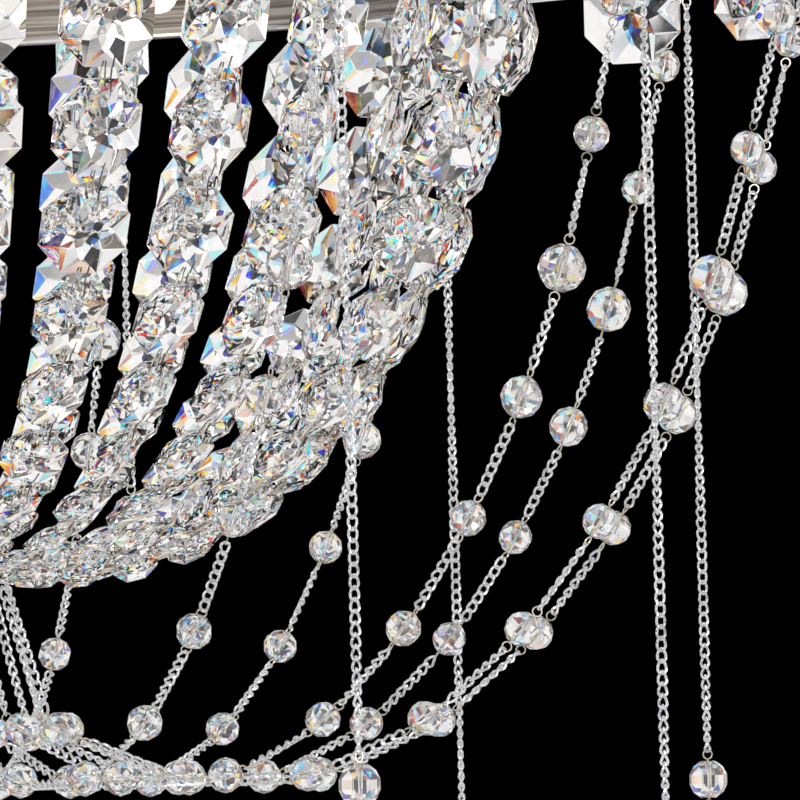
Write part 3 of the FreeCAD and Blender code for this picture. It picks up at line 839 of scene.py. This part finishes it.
OUTER_SECTION = rounded(337.5, 340.5, 277, 291, 0.35)
LIP_SECTION = rounded(231, 239, 266, 267.5, 0.3)
WALL_SECTION = [(237, 267.4), (238.1, 267.4), (238.1, 268.2), (238.8, 268.2), (239, 268.4),
                (239, 290.6), (238.6, 291), (237.4, 291), (237, 290.6)]
for name, section, finish, node in (("outer_band", OUTER_SECTION, chrome, ["outer_ring"]),
                                    ("basket_band", WALL_SECTION, brushed_band, ["basket_ring"]),
                                    ("basket_lip", LIP_SECTION, chrome, [])):
    piece(name, ring_band(section), finish, "fixture", node)
LOW_STEPS, LOW_SIDES = 64, 12
u = np.arange(LOW_STEPS) * 2 * math.pi / LOW_STEPS
low_path = np.stack([BOTTOM_RING_RADIUS * np.cos(u), BOTTOM_RING_RADIUS * np.sin(u),
                     np.full(LOW_STEPS, BASE + BOTTOM_RING_LEVEL)], -1)
piece("bottom_wire_ring", wire(low_path, BOTTOM_RING_SECTION, LOW_SIDES, True), chrome, "fixture",
      ["bottom_ring"])

# %% [markdown]
# ## Stem, hub, crown and canopy
#
# These are turned on a lathe. The solids have sixteen flat sides; here they are round, with
# broken edges, a rolled rim on the canopy and a groove round its collar. The sections are in
# millimetres of radius and height, from the ceiling for the canopy and its collar, and from the
# swag bottoms for the rest.

# %% Turned parts on the axis
TURNED_STEPS = 96
CANOPY_SECTION = [(14.3, -28), (36.8, -28), (38.4, -27.6), (61.3, -2.4), (62.6, -2.2), (63, -1.8),
                  (63, -0.5), (61.8, -0.5), (61.5, -1.2), (37.6, -26.8), (14.3, -26.8)]
COLLAR_SECTION = [(13.8, -33.4), (14.4, -34), (18.3, -34), (19, -33.3), (19, -32), (18.4, -31.6),
                  (18.4, -30.4), (19, -30), (19, -28.6), (18.4, -28), (13.8, -28)]
CROWN_SECTION = [(8, 607), (65.2, 607), (66, 607.8), (66, 610.2), (65.2, 611), (8, 611)]
HUB_PROFILE = [(0, 303), (26.6, 303), (28.2, 303.5), (29, 305), (29, 324), (28.2, 325.5), (26.6, 326),
               (0, 326)]
STEM_PROFILE = [(0, 326), (8, 326), (8, 654.7), (0, 654.7)]
TURNED = [("canopy_shell", CANOPY_SECTION, True, 0.0, "canopy_cover", "canopy"),
          ("collar_nut", COLLAR_SECTION, True, 0.0, "canopy_cover", "canopy_collar"),
          ("crown_disc", CROWN_SECTION, True, BASE, "fixture", "crown_plate"),
          ("turned_hub", HUB_PROFILE, False, BASE, "fixture", "hub"),
          ("round_stem", STEM_PROFILE, False, BASE, "fixture", "stem")]
for name, profile, closed, level, body, node in TURNED:
    section = np.array(profile) * MM + [0.0, level]
    piece(name, turned(section, TURNED_STEPS, closed), chrome, body, [node])

# %% [markdown]
# ## Lamps
#
# A ceramic socket is a short turned cup with two grooves; the capsule bulb under it has a
# straight body and a domed, slightly drawn tip. Their profiles are in millimetres below the arm.

# %% Lamps
LAMP_RADIUS, ARM_UNDER = 112 * MM, 306 * MM
LAMP_STEPS = 32
arm_azimuths = bays[1::2]
SOCKET_PROFILE = [(0, 0), (8.6, 0), (9, -0.4), (9, -6), (8.4, -6.6), (9, -7.2), (9, -13), (8.4, -13.6),
                  (9, -14.2), (9, -19.2), (8.4, -20), (0, -20)]
BULB_PROFILE = [(0, -20), (7.2, -20), (8, -20.8), (8, -38), (7.4, -41.5), (6, -44.2), (4, -46.2),
                (2, -46.9), (0, -47)]


def lamp(profile):
    """A turned lamp part under each arm, from its profile, turned over so that it runs upwards."""
    shape = turned(np.array(profile[::-1]) * MM, LAMP_STEPS)
    return hang(shape, [(LAMP_RADIUS, ARM_UNDER, 0.0)], arm_azimuths)


for name, profile, finish, slot, node in (
        ("socket_cups", SOCKET_PROFILE, ceramic, "lamp_ceramic", "lamp_sockets"),
        ("capsule_bulbs", BULB_PROFILE, frosted, "frosted_bulb", "bulbs")):
    piece(name, lamp(profile), finish, "fixture", [node])

# %% [markdown]
# ## Suspension links
#
# Two long links of round bar join the ceiling loop to the fixture's own loop. The loops and
# their necks are one forging each. Here the bar is properly round.

# %% Links and loops
BEND_STEPS, BAR_SIDES, NECK_STEPS = 10, 10, 48
LINK_SIZES = (8, 16, 4.4)  # radius of the bends, straight run, bar's thickness, in mm
LOOP_SIZES = (9, 8, 5)
NECK_EDGE = 0.6


def bar_loop(top, sizes, turn):
    """A closed link with straight sides: half circles above and below a straight run, its upper
    centre line at height top."""
    top, (half, run, thick) = top * MM, np.array(sizes) * MM
    a = np.linspace(0, math.pi, BEND_STEPS)
    upper = np.stack([half * np.cos(a), 0 * a, top - half + half * np.sin(a)], -1)
    lower = np.stack([-half * np.cos(a), 0 * a, top - half - run - half * np.sin(a)], -1)
    shape = wire(np.concatenate([upper, lower]), thick, BAR_SIDES, True)
    return stamp(shape, about_z(turn), np.zeros((1, 3)))


def neck(width, bottom, top, bore=0.0, bore_bottom=0.0):
    """A turned boss with broken edges, and a blind bore from above where it is given."""
    r, e = width / 2, NECK_EDGE
    profile = [(0, bottom), (r - e, bottom), (r, bottom + e), (r, top - e), (r - e, top)]
    profile += [(bore, top), (bore, bore_bottom), (0, bore_bottom)] if bore else [(0, top)]
    return turned(np.array(profile) * MM, NECK_STEPS)


ceiling_neck = neck(width=27, bottom=-36, top=-24, bore=5.1, bore_bottom=-30)
fixture_neck = neck(width=20, bottom=-142.3, top=-132.3)
FORGED = [("suspension_ring_upper", bar_loop(-54.5, LINK_SIZES, math.pi / 2), "upper_link",
           "suspension_link_upper"),
          ("suspension_ring_lower", bar_loop(-81.8, LINK_SIZES, 0.0), "lower_link",
           "suspension_link_lower"),
          ("ceiling_eye", joined([ceiling_neck, bar_loop(-33.5, LOOP_SIZES, 0.0)]), "mounting",
           "ceiling_loop"),
          ("fixture_eye", joined([fixture_neck, bar_loop(-108.8, LOOP_SIZES, math.pi / 2)]), "fixture",
           "top_loop")]
for name, shape, body, node in FORGED:
    piece(name, shape, chrome, body, [node])

# %% [markdown]
# ## Light and backdrop
#
# Cut crystal shows its surroundings, so the surroundings are a plain studio: mostly white
# panels, a few grey or dark, with soft black bands running between groups of them. The camera
# itself sees a black backdrop. Glass bends blue more than red, so whatever a crystal shows has a
# coloured edge. Tracing that needs many wavelengths for each ray. Here it is done once, in the
# world, for light that has passed through crystal: red looks the studio up a little nearer to the
# Y axis, along which the picture is taken, and blue a little further out. So each band turns
# from orange and deep red on one side to blue and cyan on the other, in every view.

# %% World
FRINGE = 0.038  # how far the colours part, over the angle from the Y axis
PANELS = [(0.0, (0.04,) * 3), (0.07, (0.50,) * 3), (0.11, (0.90,) * 3), (0.20, (1.0,) * 3)]
PANEL_SCALE, BAND_SCALE, REGION_SCALE = 5.5, 2.8, 2.4
BAND_CORE, BAND_EDGE = 0.05, 0.17  # a band is darkest up to the first, and gone at the second
REGION_LOW, REGION_HIGH = 0.48, 0.60  # between these noise values the bands fade
BAND_DARK, BAND_FAINT = 0.02, 0.9  # from this brightness to this one


def panel_brightness(tree, direction, spread):
    """Brightness of the studio in a direction whose X and Z are stretched by spread. Small Voronoi
    cells are the panels; the dark bands follow the distance to the edge of larger cells."""
    way = add_node(tree, "VectorMath", {0: direction, 1: (spread, 1.0, spread)},
                   operation="MULTIPLY").outputs[0]
    cells = add_node(tree, "TexVoronoi", {"Vector": way, "Scale": PANEL_SCALE})
    pick = add_node(tree, "SeparateColor", {"Color": cells.outputs["Color"]}).outputs["Red"]
    edges = add_node(tree, "TexVoronoi", {"Vector": way, "Scale": BAND_SCALE}, feature="DISTANCE_TO_EDGE")
    region = add_node(tree, "TexNoise", {"Vector": direction, "Scale": REGION_SCALE, "Detail": 0.0})
    depth = add_node(tree, "MapRange", {"Value": region.outputs["Fac"], "From Min": REGION_LOW,
                                        "From Max": REGION_HIGH, "To Min": BAND_DARK,
                                        "To Max": BAND_FAINT}).outputs["Result"]
    band = add_node(tree, "MapRange", {"Value": edges.outputs["Distance"], "From Min": BAND_CORE,
                                       "From Max": BAND_EDGE, "To Min": depth},
                    interpolation_type="SMOOTHSTEP").outputs["Result"]
    panel = ramp(tree, pick, PANELS, "CONSTANT")
    return add_node(tree, "Math", {0: panel, 1: band}, operation="MULTIPLY").outputs[0]


def studio_world():
    """Black for the camera; fringed panels for light that passed crystal; plain panels else."""
    world = bpy.data.worlds.new("studio")
    world.use_nodes = True
    tree = world.node_tree
    direction = add_node(tree, "TexCoord").outputs["Generated"]
    channels = [panel_brightness(tree, direction, 1.0 + shift) for shift in (-FRINGE, 0.0, FRINGE)]
    fringed = add_node(tree, "CombineColor", dict(zip(("Red", "Green", "Blue"), channels))).outputs["Color"]
    path = add_node(tree, "LightPath")
    seen = add_node(tree, "Mix", {"Factor": path.outputs["Is Transmission Ray"], "A": channels[1],
                                  "B": fringed}, data_type="RGBA").outputs["Result"]
    lit = add_node(tree, "Mix", {"Factor": path.outputs["Is Camera Ray"], "A": seen,
                                 "B": (0.0, 0.0, 0.0, 1.0)}, data_type="RGBA").outputs["Result"]
    tree.links.new(lit, tree.nodes["Background"].inputs["Color"])
    tree.nodes["Background"].inputs["Strength"].default_value = 1.0
    bpy.context.scene.world = world


studio_world()


def area_lamp(name, spot, aim, side, power):
    """A square soft box at spot, facing aim, that the camera doesn't see."""
    data = bpy.data.lights.new(name, "AREA")
    data.shape, data.size, data.energy = "SQUARE", side, power
    made = bpy.data.objects.new(name, data)
    back = np.asarray(spot, float) - aim
    back /= np.linalg.norm(back)
    right = np.cross([0, 0, 1.0], back)
    right /= np.linalg.norm(right)
    axes = Matrix(np.array([right, np.cross(back, right), back]).T.tolist())
    made.matrix_world = Matrix.LocRotScale(spot, axes.to_quaternion(), None)
    made.visible_camera = False
    bpy.context.scene.collection.objects.link(made)


target = np.array([0, 0, BASE + 150 * MM])
area_lamp("key_box", (-2.4, -2.6, 0.6), target, 1.6, 26.0)
area_lamp("side_box", (2.8, -1.0, -0.4), target, 1.2, 12.0)

# %% [markdown]
# ## The floor
#
# The room is 2.7 m high, so the pale floor lies far below the picture.

# %% Floor
FLOOR_LEVEL, FLOOR_RADIUS = -2.7, 1.6
floor_finish = clouded("pale_floor", 3.0, 2.0, (0.74, 0.74, 0.73), (0.80, 0.80, 0.79), Roughness=0.8)[0]
disc = turned([(FLOOR_RADIUS, 0.0), (0.0, 0.0)], TURNED_STEPS)
floor_mesh = bpy.data.meshes.new("floor")
floor_points = disc.points + [0, 0, FLOOR_LEVEL]
floor_mesh.from_pydata(floor_points.tolist(), [], disc.corners.reshape(-1, 3).tolist())
floor_mesh.materials.append(floor_finish)
floor = bpy.data.objects.new("floor", floor_mesh)
bpy.context.scene.collection.objects.link(floor)

# %% [markdown]
# ## The view transform
#
# The render shows its colours plainly, through the standard view transform.

# %% View transform
bpy.context.scene.view_settings.view_transform = "Standard"
